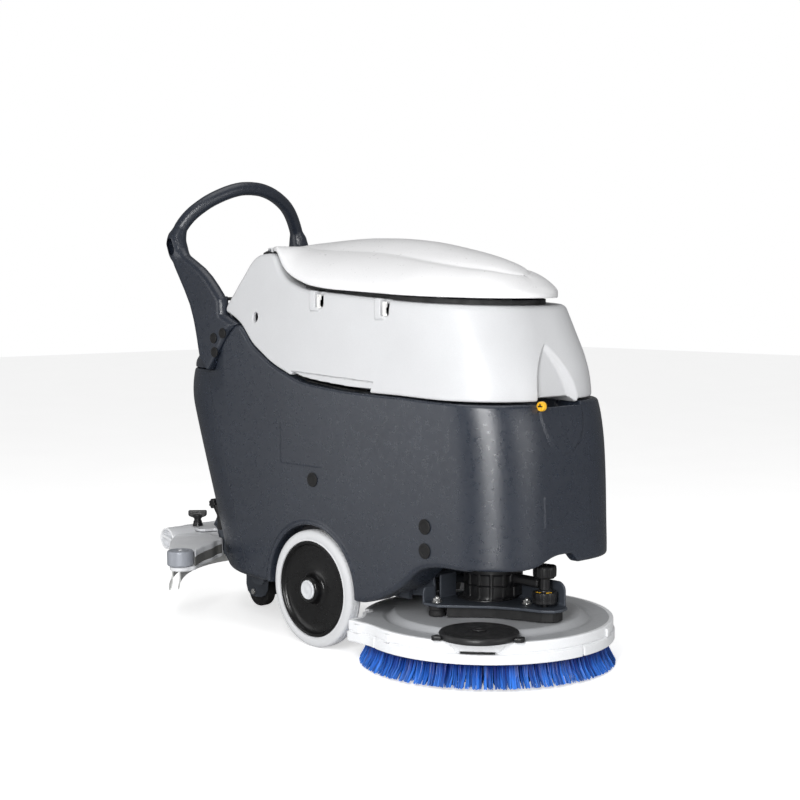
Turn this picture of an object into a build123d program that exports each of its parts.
"""Walk-behind floor scrubber, one STEP file per piece.

Millimetres. +X forward (brush end), +Y left, +Z up, origin on the floor under the drive axle.
"""
from build123d import *
import math
import os

os.makedirs("parts", exist_ok=True)

# ---------------------------------------------------------------- driving dimensions
SIDES = (1, -1)           # left, right
RUN = 0.05                # radial running clearance
TIGHT = 0.02              # radial clearance of a fixed pin or seat
BODY_W = 198.0            # half width of the tank body
BODY_INNER_W = 191        # half width of the cavities in both tanks
BODY_SLANT = 0.2879       # rearward lean of the rear wall per unit height
WHEEL_R = 129.0
WHEEL_IN, WHEEL_OUT = 164.0, BODY_W
HUB_R = 105.5
BEARING_R = 21
AXLE_R = 10.0
RAIL_IN, RAIL_OUT = 100, 108      # chassis rail faces, from the centre plane
BRUSH_X = 340.0
BRUSH_R = 268.0           # bristle tip circle on the floor
SKIRT_R = 268.0
ROLLER_X, ROLLER_Y, ROLLER_R = 478.0, -171.0, 80.0
BATTERY_Z = 160           # battery well floor
VACUUM_X = -330           # vacuum motor centre
CASTER_X = -390.0         # caster swivel
CASTER_AX, CASTER_R = -420.0, 38.0
CASTER_PIN_R = 4.0
SQ_YAW_X = -505.0         # squeegee swivel and suction port
SWIVEL_R = 22             # squeegee swivel neck
TIP_X, TIP_Y, END_R = -329, 308.0, 30.0       # squeegee end rollers
WING_X, WING_Y, WING_BOLT_R = -560, 90, 4.0   # squeegee wing knobs
TUBE_R = 16.0             # handle tube radius

# Cross pins: (x, z) of the axis, then the radius
PIVOT, PIVOT_R = (150.0, 140.0), 6            # deck hinge
ARM_PIVOT, ARM_PIVOT_R = (-300.0, 100.0), 8   # squeegee arms on the chassis
ARM_PIN = (-468.0, 211.0)                     # squeegee arms on the carrier
LEVER_PIVOT, LEVER_R = (-430, 210), 5
LEVER_END = (-468, 262)
LID_PIN, LID_PIN_R = (-218.0, 864.0), 3
PADDLE_PIN, PADDLE_PIN_R = (-435, 753), 3
AXLE = (0, WHEEL_R)
CASTER_AXLE = (CASTER_AX, CASTER_R)


# ---------------------------------------------------------------- helpers
def box(x0, x1, y0, y1, z0, z1):
    """Box between two corners; y0 and y1 may come in either order."""
    centre = Pos((x0 + x1) / 2, (y0 + y1) / 2, (z0 + z1) / 2)
    return centre * Box(x1 - x0, abs(y1 - y0), z1 - z0)


def cyl_z(x, y, z0, z1, radius):
    return Pos(x, y, (z0 + z1) / 2) * Cylinder(radius, z1 - z0)


def cyl_y(axis, y0, y1, radius):
    """Cylinder along Y; axis is its (x, z)."""
    x, z = axis
    return Pos(x, (y0 + y1) / 2, z) * Rot(90, 0, 0) * Cylinder(radius, abs(y1 - y0))


def stack_z(x, y, *tiers):
    """Coaxial upright cylinders, each tier (z0, z1, radius)."""
    solid = cyl_z(x, y, *tiers[0])
    for tier in tiers[1:]:
        solid += cyl_z(x, y, *tier)
    return solid


def side(points, y0, y1):
    """XZ outline extruded along Y; y0 and y1 may come in either order."""
    y0, y1 = sorted((y0, y1))
    wire = Wire.make_polygon([(x, y0, z) for x, z in points], close=True)
    return Solid.extrude(Face(wire), Vector(0, y1 - y0, 0))


def plan(points, z0, z1, lean=0.0):
    """XY outline extruded upward, shifted by lean in X at the top."""
    wire = Wire.make_polygon([(x, y, z0) for x, y in points], close=True)
    return Solid.extrude(Face(wire), Vector(lean, 0, z1 - z0))


def front(points, x0, x1):
    """YZ outline extruded along X."""
    wire = Wire.make_polygon([(x0, y, z) for y, z in points], close=True)
    return Solid.extrude(Face(wire), Vector(x1 - x0, 0, 0))


def tube(points, radius):
    path = Spline(*[Vector(*point) for point in points])
    profile = Plane(origin=path @ 0, z_dir=path % 0) * Circle(radius)
    return sweep(profile, path=path)


def flip_plan(points):
    """XY points mirrored to the other side, in reverse order."""
    return [(x, -y) for x, y in reversed(points)]


def flip_section(points):
    """YZ points mirrored to the other side, in reverse order."""
    return [(-y, z) for y, z in reversed(points)]


def nose(centre_x, depth, half_width, exponent, steps, direction=1):
    """Super-ellipse end, from +half_width round to -half_width."""
    points = []
    for i in range(steps + 1):
        angle = math.pi / 2 - math.pi * i / steps
        c, s = math.cos(angle), math.sin(angle)
        x = depth * abs(c) ** (2 / exponent)
        y = half_width * math.copysign(abs(s) ** (2 / exponent), s)
        points.append((centre_x + direction * x, y))
    return points


def nosed(flat_x, centre_x, depth, half_width, exponent, steps, direction=1):
    """Outline with a square end at flat_x and a super-ellipse nose at the other."""
    end = nose(centre_x, depth, half_width, exponent, steps, direction)
    return [(flat_x, half_width)] + end + [(flat_x, -half_width)]


def save(name, shapes):
    """Write one piece from a shape or a list of shapes."""
    if not isinstance(shapes, (list, tuple)):
        shapes = [shapes]
    solids = [solid for shape in shapes for solid in shape.solids()]
    piece = Compound(children=solids) if len(solids) > 1 else solids[0]
    piece.label = name
    export_step(piece, f"parts/{name}.step")


# ---------------------------------------------------------------- lower tank body
BLANK_Z0, BLANK_Z1 = 100.0, 720       # height range of the plan-shaped blanks
REAR_X = -223 + BODY_SLANT * (130 - BLANK_Z0)
# (x, z) of the top face, rear to front
TOP = [(-252, 698), (-202, 654), (-167, 633), (-132, 614), (-97, 600), (-29, 579), (69, 569),
       (132, 564), (284, 562), (369, 559), (530, 556)]
# (x, z) of the whole body, from the rear top corner forward and back underneath
BODY = [(-600, 592), (-356, 592), (-282, 679)] + TOP + [
    (541, 550), (545, 535), (545, 515), (552, 462), (557, 388), (560, 303), (562, 240),
    (556, 232), (453, 229), (398, 228), (364, 224), (341, 218), (318, 205), (297, 187),
    (268, 166), (238, 150), (192, 130), (151, 122), (-122, 123), (-223, 126), (-600, 130)]
# (x, z) of the upper, wider part of the battery well
WELL = [(-205, 285), (112, 285), (112, 540), (-29, 556), (-97, 577), (-140, 597), (-205, 630)]
# (x, z) of the front cavity
FRONT_CAVITY = [
    (122, 165), (215, 170), (250, 180), (290, 215), (330, 236), (548, 240), (553, 300),
    (549, 400), (538, 500), (536, 528), (498, 530), (490, 552), (122, 556)]


def rear_blank(depth, half_width, steps):
    """Leaning rear half of the body, rounded in plan."""
    return plan(nosed(0, REAR_X, depth, half_width, 2.0, steps, -1),
                BLANK_Z0, BLANK_Z1, -BODY_SLANT * (BLANK_Z1 - BLANK_Z0))


def front_cavity():
    cavity = side(FRONT_CAVITY, -BODY_INNER_W, BODY_INNER_W)
    cavity &= plan(nosed(0, 426, 128, BODY_INNER_W, 2.7, 24), 100, 700)
    cavity -= box(176, 552, -116, 116, 90, 283)
    cavity -= cyl_z(BRUSH_X, 0, 260, 348, 96)
    return cavity


def solution_tank():
    fore = plan(nosed(-150, 428, 134, BODY_W, 2.7, 28), BLANK_Z0, BLANK_Z1)
    tank = side(BODY, -BODY_W, BODY_W) & (fore + rear_blank(200, BODY_W, 28))
    for s in SIDES:                                         # wheel arch and its lip
        tank -= cyl_y(AXLE, s * 158, s * 205, 141)
        lip = cyl_y(AXLE, s * 190, s * 200, 149) - cyl_y(AXLE, s * 180, s * 205, 141)
        tank += lip - box(-200, 200, -210, 210, -60, 128)
    tank -= box(-445, 300, -150, 150, 100, 150)             # underside recess
    tank -= box(184, 542, -108, 108, 100, 275)              # brush motor bay
    tank -= cyl_z(BRUSH_X, 0, 270, 340, 88)
    tank -= box(-218, 112, -160, 160, BATTERY_Z, 720)       # battery well
    tank -= side(WELL, -BODY_INNER_W, BODY_INNER_W)
    tank -= cyl_y(AXLE, -170, 170, 14)                      # axle clearance
    tank -= cyl_z(VACUUM_X, 0, 395, 720, 78)                # vacuum motor well
    tank -= front_cavity()
    shell = rear_blank(192, 190, 24)
    tank -= shell & box(-600, -226, -190, 190, 182, 385)    # dry void behind the batteries
    tank -= shell & box(-600, -226, -190, 190, 397, 584)
    tank -= box(-230, -214, -40, 40, 300, 350)              # cable way to the well
    tank += cyl_z(VACUUM_X, 0, 385, 395, 80)
    tank -= box(505, 600, -68, 68, 538, 600)                # filler pocket
    tank -= cyl_z(524, 0, 500, 560, 13)                     # filler mouth
    tank -= box(70, 125, 60, 80, 520, 545)                  # breather from well to tank
    return tank


save("solution_tank", solution_tank())

# ---------------------------------------------------------------- chassis frame
# (x, z) outlines
RAIL = [(-425, 136), (-300, 136), (-300, 126), (215, 126), (215, 149), (-425, 149)]
ARM_LUG = [(-322, 140), (-322, 92), (-312, 84), (-288, 84), (-278, 92), (-278, 140)]
LEVER_LUG = [(-414, 141), (-425, 141), (-443, 208), (-438, 222), (-424, 222), (-421, 208)]


def chassis_frame():
    frame = side(RAIL, RAIL_IN, RAIL_OUT)
    frame += side(RAIL, -RAIL_IN, -RAIL_OUT)
    frame += box(-425, -335, -112, 112, 141, 149)           # caster plate
    for x0, x1, z0 in ((-70, 70, 144), (100, 128, 142)):    # cross members
        frame += box(x0, x1, -RAIL_OUT, RAIL_OUT, z0, 149 if x0 < 0 else 149)
    for s in SIDES:
        frame += side(ARM_LUG, s * RAIL_IN, s * RAIL_OUT)
        frame += box(-26, 26, s * RAIL_OUT, s * 148, 110, 148)      # axle block
    frame += cyl_z(CASTER_X, 0, 114, 145, 24)
    frame -= cyl_z(CASTER_X, 0, 100, 160, AXLE_R + RUN)
    frame += side(LEVER_LUG, -112, -104)
    frame -= cyl_y(LEVER_PIVOT, -130, -100, LEVER_R + RUN)
    frame -= cyl_y(AXLE, -160, 160, AXLE_R + TIGHT)
    frame -= cyl_y(PIVOT, -130, 130, PIVOT_R + RUN)
    frame -= cyl_y(ARM_PIVOT, -130, 130, ARM_PIVOT_R + RUN)
    for s in SIDES:                                         # rear notches inside the rails
        frame -= box(-445, -420, s * 84, s * 99.9, 130, 160)
    return frame


save("chassis_frame", chassis_frame())
save("axle_shaft", cyl_y(AXLE, -204, 204, AXLE_R))


# ---------------------------------------------------------------- drive wheels
def tyre(s):
    solid = cyl_y(AXLE, s * 168, s * 194, WHEEL_R)
    solid += cyl_y(AXLE, s * WHEEL_IN, s * WHEEL_OUT, WHEEL_R - 5)
    return solid - cyl_y(AXLE, -210, 210, HUB_R + RUN)


def hub(s):
    solid = cyl_y(AXLE, s * 166, s * 196, HUB_R)
    solid -= cyl_y(AXLE, s * 188, s * 200, 97)              # outer dish
    solid -= cyl_y(AXLE, s * 160, s * 172, 97)              # inner dish
    solid += cyl_y(AXLE, s * 166, s * 206, 30)
    return solid - cyl_y(AXLE, s * 150, s * 210, BEARING_R)


def bearing(s):
    solid = cyl_y(AXLE, s * 167, s * 203, BEARING_R - TIGHT)
    return solid - cyl_y(AXLE, -220, 220, AXLE_R + RUN)


def hubcap(s):
    return cyl_y(AXLE, s * 206.2, s * 210, 24) + cyl_y(AXLE, s * 204.5, s * 206.2, 20.9)


for label, s in (("left", 1), ("right", -1)):
    for build in (tyre, hub, bearing, hubcap):
        save(f"{label}_{build.__name__}", build(s))

# ---------------------------------------------------------------- rear caster
FORK_CHEEK = [(-434, 28), (-430, 22), (-410, 22), (-406, 28), (-372, 88), (-434, 88)]   # x, z


def caster_fork():
    fork = box(-432, -352, -26, 26, 88, 94)
    for s in SIDES:
        fork += side(FORK_CHEEK, s * 22, s * 25)
    fork += cyl_z(CASTER_X, 0, 90, 112, 22)
    fork += cyl_z(CASTER_X, 0, 90, 140, AXLE_R)
    return fork - cyl_y(CASTER_AXLE, -40, 40, CASTER_PIN_R + TIGHT)


save("caster_fork", caster_fork())
save("caster_axle", cyl_y(CASTER_AXLE, -28, 28, CASTER_PIN_R)
     + cyl_y(CASTER_AXLE, 25.2, 30, 7) + cyl_y(CASTER_AXLE, -30, -25.2, 7))
save("caster_wheel", cyl_y(CASTER_AXLE, -13, 13, CASTER_R) + cyl_y(CASTER_AXLE, -20, 20, 12)
     - cyl_y(CASTER_AXLE, -40, 40, CASTER_PIN_R + RUN))

# ---------------------------------------------------------------- handle moulding
# (x, z) of each side leg
LEG = [(-517, 881), (-490, 827), (-452, 771), (-433, 740), (-414, 694), (-389, 620),
       (-364, 592.6), (-357, 592.6), (-284, 680.5), (-254, 699), (-307, 722), (-308, 745),
       (-311, 757), (-324, 772), (-341, 789), (-363, 809), (-390, 828), (-419, 843),
       (-447, 857), (-466, 872), (-474, 890)]
# (x, y, z) of the grip centre line, left leg to the middle
GRIP = [(-484, 188, 852), (-495, 186, 892), (-490, 175, 922), (-480, 155, 950),
        (-468, 132, 972), (-459, 106, 989), (-450, 68, 1006), (-446, 30, 1016), (-446, 0, 1018)]
handle = tube(GRIP + [(x, -y, z) for x, y, z in GRIP[-2::-1]], TUBE_R)
for s in SIDES:
    handle += side(LEG, s * 172, s * 203)
save("handle_frame", handle)

# ---------------------------------------------------------------- console
# (x, z) outlines
CONSOLE = [(-308, 742), (-308, 690), (-345, 640), (-380, 597), (-594, 597), (-594, 607),
           (-556, 616), (-430, 742)]
CONSOLE_CAVITY = [(-313, 737), (-313, 695), (-350, 641), (-380, 602), (-400, 590),
                  (-575, 590), (-575, 604), (-554, 611), (-432, 737)]
PADDLE_LUG = [(-442, 740), (-442, 760), (-428, 760), (-424, 740)]
# Sloping panel: local x is +Y, local z points out of the panel, rearward and up
PANEL = Plane(origin=(-493, 0, 679), x_dir=(0, 1, 0), z_dir=(-1, 0, 1))
BUTTONS = {"brush_button": (-75, -22), "vacuum_button": (-75, 22), "water_button": (75, 22)}
KEY = (75, -22)
KEY_R = 9
DISPLAY_Y = 10


def console_housing():
    housing = side(CONSOLE, -171, 171)
    housing &= plan(nosed(-300, -340, 254, 178, 1.6, 28, -1), 590, 770)
    cavity = side(CONSOLE_CAVITY, -166, 166)
    housing -= cavity & plan(nosed(-300, -340, 247, 172, 1.6, 28, -1), 580, 770)
    housing += box(-594, -540, -40, 40, 597, 603)           # pads over the two hose ends
    housing += box(-563, -470, 104, 156, 597, 603)
    housing -= PANEL * (Pos(0, DISPLAY_Y, -1) * Box(92, 58, 2.6))
    for u, v in BUTTONS.values():
        housing -= PANEL * (Pos(u, v, 0) * Cylinder(14.5, 20))
    housing -= PANEL * (Pos(*KEY, 0) * Cylinder(KEY_R + RUN, 20))
    for s in SIDES:
        housing += side(PADDLE_LUG, s * 86, s * 92)
    return housing - cyl_y(PADDLE_PIN, -100, 100, PADDLE_PIN_R + RUN)


save("console_housing", console_housing())
save("display_lens", PANEL * (Pos(0, DISPLAY_Y, -0.9) * Box(91, 57, 2.2)))
for name, (u, v) in BUTTONS.items():
    save(name, PANEL * (Pos(u, v, 0.5) * Cylinder(14, 13)))
save("key_switch", PANEL * (Pos(*KEY, -1) * Cylinder(KEY_R, 12))
     + PANEL * (Pos(*KEY, 16) * Box(4, 20, 24)))
paddle = box(-474, -429, -85, 85, 749, 757) - box(-441, -429, -90, 90, 748, 749.5)
save("start_paddle", paddle + cyl_y(PADDLE_PIN, -92, 92, PADDLE_PIN_R))


# ---------------------------------------------------------------- inside the body
def battery(s):
    block = box(-214, -16, s * 4, s * 156, BATTERY_Z + 0.5, 420)
    return block + cyl_z(-190, s * 40, 420, 434, 9) + cyl_z(-190, s * 120, 420, 434, 9)


save("batteries", [battery(s) for s in SIDES])
save("vacuum_motor", stack_z(VACUUM_X, 0, (480, 585, 72), (400, 480, 50), (395.5, 400, 60)))
save("solution_filter", stack_z(80, 131, (124, 144, 13), (144, 149.9, 9)))

# Round plugs on the outside of the body and of the handle legs, axes (x, z)
plugs = []
for s in SIDES:
    for axis in ((8, 370), (353, 307), (353, 258)):
        plugs.append(cyl_y(axis, s * (BODY_W + 0.2), s * 201.5, 16))
    for axis in ((-332, 666), (-298, 678), (-329, 634)):
        plugs.append(cyl_y(axis, s * 203.2, s * 206, 12))
save("cover_plugs", plugs)
save("filler_plug", cyl_y((537, 551), -67.8, -60, 8.5))

# Seal round the battery well, following the body top
seal_line = TOP[1:7] + [(125, 565)]
strip = [(x, z + 0.6) for x, z in seal_line] + [(x, z + 2.4) for x, z in reversed(seal_line)]
save("tank_seal", side(strip, -178, 178) - box(-190, 114, -166, 166, 560, 700))


# ---------------------------------------------------------------- hoses at the rear
def vacuum_tube(z0, z1, radius):
    middle = [(-505.3, 0, 250), (-512, 0, 290), (-537, 0, 380), (-566, 0, 480),
              (-575, 0, 545), (-575.5, 0, 575)]
    return tube([(SQ_YAW_X, 0, z0)] + middle + [(-575.5, 0, z1)], radius)


save("vacuum_hose", vacuum_tube(237, 596.3, 19) - vacuum_tube(236, 598, 16))
save("drain_hose", tube([(-460, 130, 300), (-500, 130, 430), (-533, 130, 540),
                         (-539, 130, 575), (-539.5, 130, 596)], 20))

# ---------------------------------------------------------------- recovery tank
FLOAT_X = -150
# (x, z) of the tank; its underside runs 3 above the body top
RECOVERY = [(-305, 745), (-305, 724), (-251, 702)] + [(x, z + 3) for x, z in TOP[1:-1]] + [
    (560, 560), (560, 746), (475, 746), (382, 749), (268, 754), (209, 760), (38, 773),
    (15, 775), (-45, 781), (-95, 801), (-126, 825), (-139, 847), (-165, 856), (-204, 852),
    (-229, 834), (-248, 810), (-286, 765), (-303, 747)]
RECOVERY_CAVITY = [
    (-290, 740), (-290, 733), (-240, 706), (-190, 660), (-120, 619), (-29, 590), (69, 580),
    (284, 573), (560, 570), (560, 740), (209, 752), (38, 765), (-50, 775), (-105, 800),
    (-200, 800), (-245, 780)]


def recovery_form(profile, half_width, width_752, width_870, noses, steps):
    """Side profile trimmed by a tapering section and two leaning noses.

    width_752 and width_870 are half widths at those heights; noses are (centre x, depth).
    """
    form = side(profile, -half_width, half_width)
    half = [(half_width, 540), (half_width, 610), (width_752, 752), (width_870, 870)]
    form &= front(half + flip_section(half), -400, 600)
    (low_x, low_depth), (high_x, high_depth) = noses
    form &= plan(nosed(-400, low_x, low_depth, half_width, 2.5, steps),
                 560, 880, -0.311 * 320)
    form &= plan(nosed(-400, high_x, high_depth, half_width + 1, 2.0, steps),
                 560, 880, -0.661 * 320)
    return form


def recovery_tank():
    tank = recovery_form(RECOVERY, BODY_W, 185, 176, ((400, 133), (415, 186)), 28)
    tank -= recovery_form(RECOVERY_CAVITY, BODY_INNER_W, 178, 170,
                          ((398, 128), (413, 180)), 24)
    tank -= plan(nosed(-90, 230, 190, 150, 2.0, 24), 700, 900)      # mouth under the lid
    for s in SIDES:                                                 # hinge ears
        tank += box(-226, -210, s * 120, s * 128, 826, 871)
    return tank - cyl_y(LID_PIN, -140, 140, LID_PIN_R + TIGHT)


save("recovery_tank", recovery_tank())
cage = cyl_z(FLOAT_X, 0, 700, 799.5, 30) - cyl_z(FLOAT_X, 0, 705, 790, 25)
for angle in (0, 60, 120):
    cage -= Pos(FLOAT_X, 0, 745) * Rot(0, 0, angle) * Box(80, 14, 60)
save("float_cage", cage)
save("float_ball", Pos(FLOAT_X, 0, 727) * Sphere(21))
save("lid_hinge_pin", cyl_y(LID_PIN, -131, 131, LID_PIN_R))
save("tank_latches", [box(x - 9, x + 9, s * 188.6, s * 193, z - 16, z + 12)
                      for s in SIDES for x, z in ((15, 750), (220, 737))])

# ---------------------------------------------------------------- lid
# (x, z) of the underside and of the cavity roof and top face
LID_BOTTOM = [(-140, 862), (-128, 852), (-101, 818), (-67, 801), (-17, 786), (48, 779),
              (143, 774), (263, 768), (377, 763), (470, 761), (494, 761)]
LID_TOP = [(494, 768), (478, 790), (440, 808), (379, 828), (315, 850), (198, 872),
           (75, 884), (10, 888), (-89, 886), (-158, 881), (-229, 873)]
LID_ROOF = [(470, 766), (462, 784), (432, 800), (375, 820), (312, 842), (196, 865),
            (75, 877), (10, 881), (-89, 879), (-158, 874), (-205, 870)]
# (y, z) of the left half of the cross-section
LID_SECTION = [(180, 740), (180, 796), (172, 822), (150, 846), (110, 868), (60, 883)]
# (x, y) of the left rear corner
LID_CORNER = [(-229, 84), (-214, 112), (-190, 140), (-160, 162), (-130, 174), (-100, 180)]
# (x, z) of the gasket's lower and upper faces
GASKET_BOTTOM = [(-45, 782.5), (15, 776.5), (38, 774.5), (209, 761.5), (268, 755.5),
                 (382, 750.5), (462, 747.6)]
GASKET_TOP = [(462, 757.5), (377, 760.5), (263, 765.5), (143, 771.5), (48, 776.5),
              (-17, 783.5), (-45, 791)]


def lid():
    section = LID_SECTION + [(0, 890)] + flip_section(LID_SECTION)
    solid = side([(-229, 862)] + LID_BOTTOM + LID_TOP, -180, 180)
    solid &= front(section, -400, 600)
    solid &= plan(LID_CORNER + nose(240, 242, 180, 2.0, 28) + flip_plan(LID_CORNER), 700, 900)

    lowered = [(x + 2, z - 6) for x, z in LID_BOTTOM[:-1]]
    cavity = side([(-205, 857)] + lowered + LID_ROOF, -174, 174)
    cavity &= front([(y * 0.965, z - 6 if z > 750 else z) for y, z in section], -400, 600)
    corner = [(x if x > -229 else x + 24, y * 0.966) for x, y in LID_CORNER]
    cavity &= plan(corner + nose(240, 228, 174, 2.0, 28) + flip_plan(corner), 600, 900)
    solid -= cavity
    for s in SIDES:                                         # slots for the hinge ears
        solid -= box(-240, -200, s * 118, s * 130, 850, 876)
    return solid - cyl_y(LID_PIN, -140, 140, LID_PIN_R + RUN)


def lid_gasket():
    outer = [(-80, 168)] + nose(240, 212, 166, 2.0, 24) + [(-80, -168)]
    inner = [(-36, 158)] + nose(238, 202, 156, 2.0, 24) + [(-36, -158)]
    gasket = side(GASKET_BOTTOM + GASKET_TOP, -168, 168)
    gasket &= plan(outer, 700, 820)
    return gasket - plan(inner, 690, 830)


save("lid", lid())
save("lid_gasket", lid_gasket())

# ---------------------------------------------------------------- brush deck
COVER_R = 262
MOUNTS = ((310, 120), (310, -120), (452, 0))      # x, y of the deck bolts
MOTOR_R = 62.5
PLATE_Z = 130.2                                   # underside of the motor bracket
ADJUSTER = (495, 5)                               # x, y
# (x, y) of the bracket plate, then the outside and inside of the flange under it
PLATE = [(268, 100), (292, 142), (330, 140), (420, 66), (516, 44), (533, 32), (541, 8),
         (535, -12), (515, -28), (470, -42), (420, -66), (330, -140), (292, -142), (268, -100)]
FLANGE_OUT = [(342, -128), (420, -62), (470, -38), (515, -25), (532, -11), (537, 8),
              (530, 30), (515, 41), (420, 63), (342, 128)]
FLANGE_IN = [(340, -125), (418.5, -59), (469, -35), (513.5, -22), (529.5, -9), (534, 8),
             (527.5, 28), (514, 38), (419, 60), (340, 125)]
# (x, z) of each yoke arm
YOKE_ARM = [(140, 130), (160, 126), (250, 136.4), (280, 136.4), (280, 160), (276, 190),
            (262, 190), (246, 168), (225, 146), (140, 145)]


def deck_form(radius, inset, z0, z1):
    """Round deck with a tapered rear block, notched beside the wheels."""
    left = [(310, 266 - inset), (170 + inset, 252 - inset)]
    form = cyl_z(BRUSH_X, 0, z0, z1, radius)
    form += plan(left + flip_plan(left), z0, z1)
    for s in SIDES:
        form -= box(0, 140 + inset, s * (156 - inset), s * 300, z0 - 1, z1 + 1)
    return form


def deck_cover():
    cover = deck_form(COVER_R, 6, 88, 98)
    cover += cyl_z(BRUSH_X, 0, 98, 103, 205) + cyl_z(BRUSH_X, 0, 103, 108, 192)
    cover -= cyl_z(ROLLER_X, ROLLER_Y, 98, 130, ROLLER_R + 4)
    return cover - cyl_z(BRUSH_X, 0, 60, 130, 60)


def deck_skirt():
    skirt = deck_form(SKIRT_R, 0, 50, 98) - deck_form(COVER_R + 0.2, 5.8, 40, 110)
    skirt += deck_form(SKIRT_R - 3, 3, 82, 87.8) - deck_form(252, 16, 70, 110)
    return skirt


def brush_motor():
    motor = cyl_z(BRUSH_X, 0, 112, 129.8, 58) + cyl_z(BRUSH_X, 0, 129.8, 300, MOTOR_R)
    motor -= cyl_z(BRUSH_X, 0, 290, 305, 30)
    return motor + cyl_z(BRUSH_X, 0, 70, 112, 12) + box(398, 482, -3, 13, 172, 192)


def motor_bracket():
    bracket = plan(PLATE, PLATE_Z, 136)
    bracket -= cyl_z(BRUSH_X, 0, 100, 150, MOTOR_R + 0.1)
    bracket += box(400, 520, 37, 41, PLATE_Z, 184)
    for s in SIDES:                                         # upright tabs at the rear
        bracket += box(284, 288, s * 102, s * 138, PLATE_Z, 164)
        bracket += box(284, 288, s * 40, s * 88, PLATE_Z, 184)
    bracket += plan(FLANGE_OUT + FLANGE_IN[::-1], 110, 130.4)
    return bracket - cyl_z(*ADJUSTER, 100, 160, 5.2)


def lift_yoke():
    yoke = side(YOKE_ARM, 92, 98) + side(YOKE_ARM, -92, -98)
    yoke += cyl_y(PIVOT, -108, 108, PIVOT_R)
    return yoke + cyl_y((268, 182), -92, 92, 6)


for build in (deck_cover, deck_skirt, brush_motor, motor_bracket, lift_yoke):
    save(build.__name__, build())
save("buffer_mounts", [cyl_z(x, y, 108.2, 130, 18) for x, y in MOUNTS])
save("deck_bolts", [stack_z(x, y, (136.2, 141, 11), (141, 149, 7)) for x, y in MOUNTS])
save("roller_pin", stack_z(ROLLER_X, ROLLER_Y, (98.2, 113, 8), (112.2, 115.5, 14)))
save("bumper_roller", cyl_z(ROLLER_X, ROLLER_Y, 99, 112, ROLLER_R)
     - cyl_z(ROLLER_X, ROLLER_Y, 90, 130, 8 + RUN))
save("adjuster_knob", stack_z(*ADJUSTER, (142, 168, 26), (126, 222, 5), (168, 196, 11),
                              (196, 222, 24)))

# ---------------------------------------------------------------- brush
save("brush_disc", stack_z(BRUSH_X, 0, (48, 66, 244), (66, 86, 45))
     - cyl_z(BRUSH_X, 0, 40, 100, 12 + RUN))
# (radius, z) of the bristle ring
bristle_line = Polyline((150, 0), (BRUSH_R, 0), (258, 30), (250, 47.8), (150, 47.8), close=True)
save("bristles", revolve(Plane.XZ * Pos(BRUSH_X, 0) * make_face(bristle_line),
                         axis=Axis((BRUSH_X, 0, 0), (0, 0, 1))))

# ---------------------------------------------------------------- squeegee
# (x, y) of the casting's left half: tip, then along the front edge towards the centre
CAST_EDGE = [(-345, 312), (-329, 318), (-312, 308), (-304, 290), (-328, 256), (-353, 222),
             (-370, 186), (-400, 152), (-414, 142), (-450, 134), (-474, 118), (-490, 104),
             (-490, 60)]
# (x, y) of the hollow's left half, along the front
HOLLOW_EDGE = [(-345, 290), (-322, 283), (-343, 252), (-366, 220), (-383, 187), (-411, 158),
               (-452, 144), (-484, 122), (-499, 100)]


def bow(x, depth, y):
    """X of a curve through x at the centre, swept forward by depth at y = 310."""
    return x + depth * (y / 310) ** 2


def squeegee_casting():
    ys = [-300 + 20 * i for i in range(31)]
    rear = [(bow(-608, 240, y), y) for y in ys]
    outline = rear + CAST_EDGE + [(-490, 0)] + flip_plan(CAST_EDGE)
    hollow = [(x + 9, y) for x, y in rear if abs(y) < 290] + HOLLOW_EDGE
    hollow += flip_plan(HOLLOW_EDGE)
    cast = plan(outline, 174, 185)
    cast += plan(outline, 140, 174) - plan(hollow, 130, 174.0)
    for s in SIDES:
        tip = (TIP_X, s * TIP_Y)
        cast -= cyl_z(*tip, 159, 192, END_R + 2)
        cast += cyl_z(*tip, 141, 159, END_R - 1)
        cast += cyl_z(*tip, 150, 188, 5)
        cast += (cyl_y((-540, 171), s * 126, s * 215, 24)
                 - cyl_y((-540, 171), s * 205, s * 220, 20.5))
        cast -= cyl_z(WING_X, s * WING_Y, 150, 200, WING_BOLT_R + 0.1)
    cast += cyl_z(SQ_YAW_X, 0, 174, 235, SWIVEL_R)
    return cast - cyl_z(SQ_YAW_X, 0, 130, 240, 17)


def squeegee_bracket():
    bracket = box(-590, -478, -84, 84, 186.6, 192) + box(-590, -496, -122, 122, 186.6, 192)
    bracket -= cyl_z(SQ_YAW_X, 0, 180, 200, SWIVEL_R + 0.3)
    for s in SIDES:
        bracket -= cyl_z(WING_X, s * WING_Y, 180, 200, WING_BOLT_R + 0.1)
    return bracket


def blade(x, depth, z0, half_width, thickness=5, steps=30):
    ys = [-half_width + 2 * half_width * i / steps for i in range(steps + 1)]
    rear = [(bow(x, depth, y), y) for y in ys]
    fore = [(bow(x + thickness, depth, y), y) for y in reversed(ys)]
    return plan(rear + fore, z0, 139.8)


def wing_knob(s):
    y = s * WING_Y
    knob = cyl_z(WING_X, y, 192.3, 212, 13) + Pos(WING_X, y, 218) * Box(10, 46, 20)
    return knob + cyl_z(WING_X, y, 178, 193, WING_BOLT_R)


def end_roller(s):
    tip = (TIP_X, s * TIP_Y)
    return cyl_z(*tip, 160, 187, END_R) - cyl_z(*tip, 150, 195, 5 + RUN)


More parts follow.
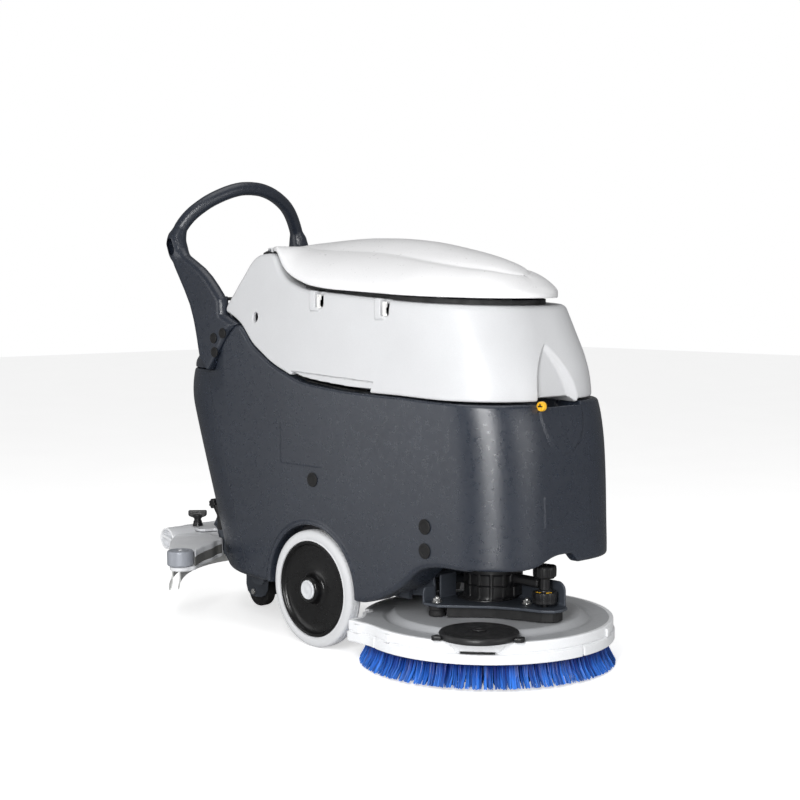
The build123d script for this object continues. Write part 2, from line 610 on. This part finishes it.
def squeegee_carrier():
    carrier = cyl_z(SQ_YAW_X, 0, 193, 216, 34) + box(-505, -458, -30, 30, 199, 216)
    carrier += box(-478, -458, -86, 86, 203, 219)
    carrier -= cyl_z(SQ_YAW_X, 0, 180, 240, SWIVEL_R + RUN)
    return carrier + cyl_y(ARM_PIN, -100, 100, 5)


save("squeegee_casting", squeegee_casting())
save("squeegee_bracket", squeegee_bracket())
save("rear_blade", blade(-592, 232, 90, 316))
save("front_blade", blade(-556, 226, 92, 300))
for label, s in (("left", 1), ("right", -1)):
    save(label + "_wing_knob", wing_knob(s))
    save(label + "_end_roller", end_roller(s))
save("squeegee_carrier", squeegee_carrier())


# ---------------------------------------------------------------- squeegee linkage
def band(path, half_width):
    """Closed outline half_width either side of an (x, z) polyline."""
    left, right = [], []
    for i, (x, z) in enumerate(path):
        x0, z0 = path[max(0, i - 1)]
        x1, z1 = path[min(len(path) - 1, i + 1)]
        length = math.hypot(x1 - x0, z1 - z0)
        dx, dz = -(z1 - z0) / length * half_width, (x1 - x0) / length * half_width
        left.append((x + dx, z + dz))
        right.append((x - dx, z - dz))
    return left + right[::-1]


def toward_pin(distance):
    """(x, z) at a distance from the arm pivot towards the carrier pin."""
    dx, dz = ARM_PIN[0] - ARM_PIVOT[0], ARM_PIN[1] - ARM_PIVOT[1]
    ratio = distance / math.hypot(dx, dz)
    return ARM_PIVOT[0] + dx * ratio, ARM_PIVOT[1] + dz * ratio


def squeegee_arm(s):
    line = [ARM_PIVOT, (-338, 123), (-425, 131), (-450, 158), (-463, 200)]
    arm = side(band(line, 8), s * 89, s * 97)
    arm += cyl_y(ARM_PIVOT, s * 89, s * 97, 14)
    arm += side(band([toward_pin(156), toward_pin(212)], 14), s * 89, s * 97)
    # slot for the carrier pin
    return arm - side(band([toward_pin(162), toward_pin(208)], 9), s * 88, s * 98)


save("squeegee_arms", squeegee_arm(1) + squeegee_arm(-1)
     + cyl_y(ARM_PIVOT, -108, 108, ARM_PIVOT_R))
lever = side(band([LEVER_PIVOT, (-448, 236), LEVER_END], 6), -121, -114)
lever += cyl_y(LEVER_PIVOT, -121, -103.6, LEVER_R)
lever += cyl_y(LEVER_END, -126, -110, 11) + cyl_y(LEVER_PIVOT, -121, -114, 9)
save("lift_lever", lever)
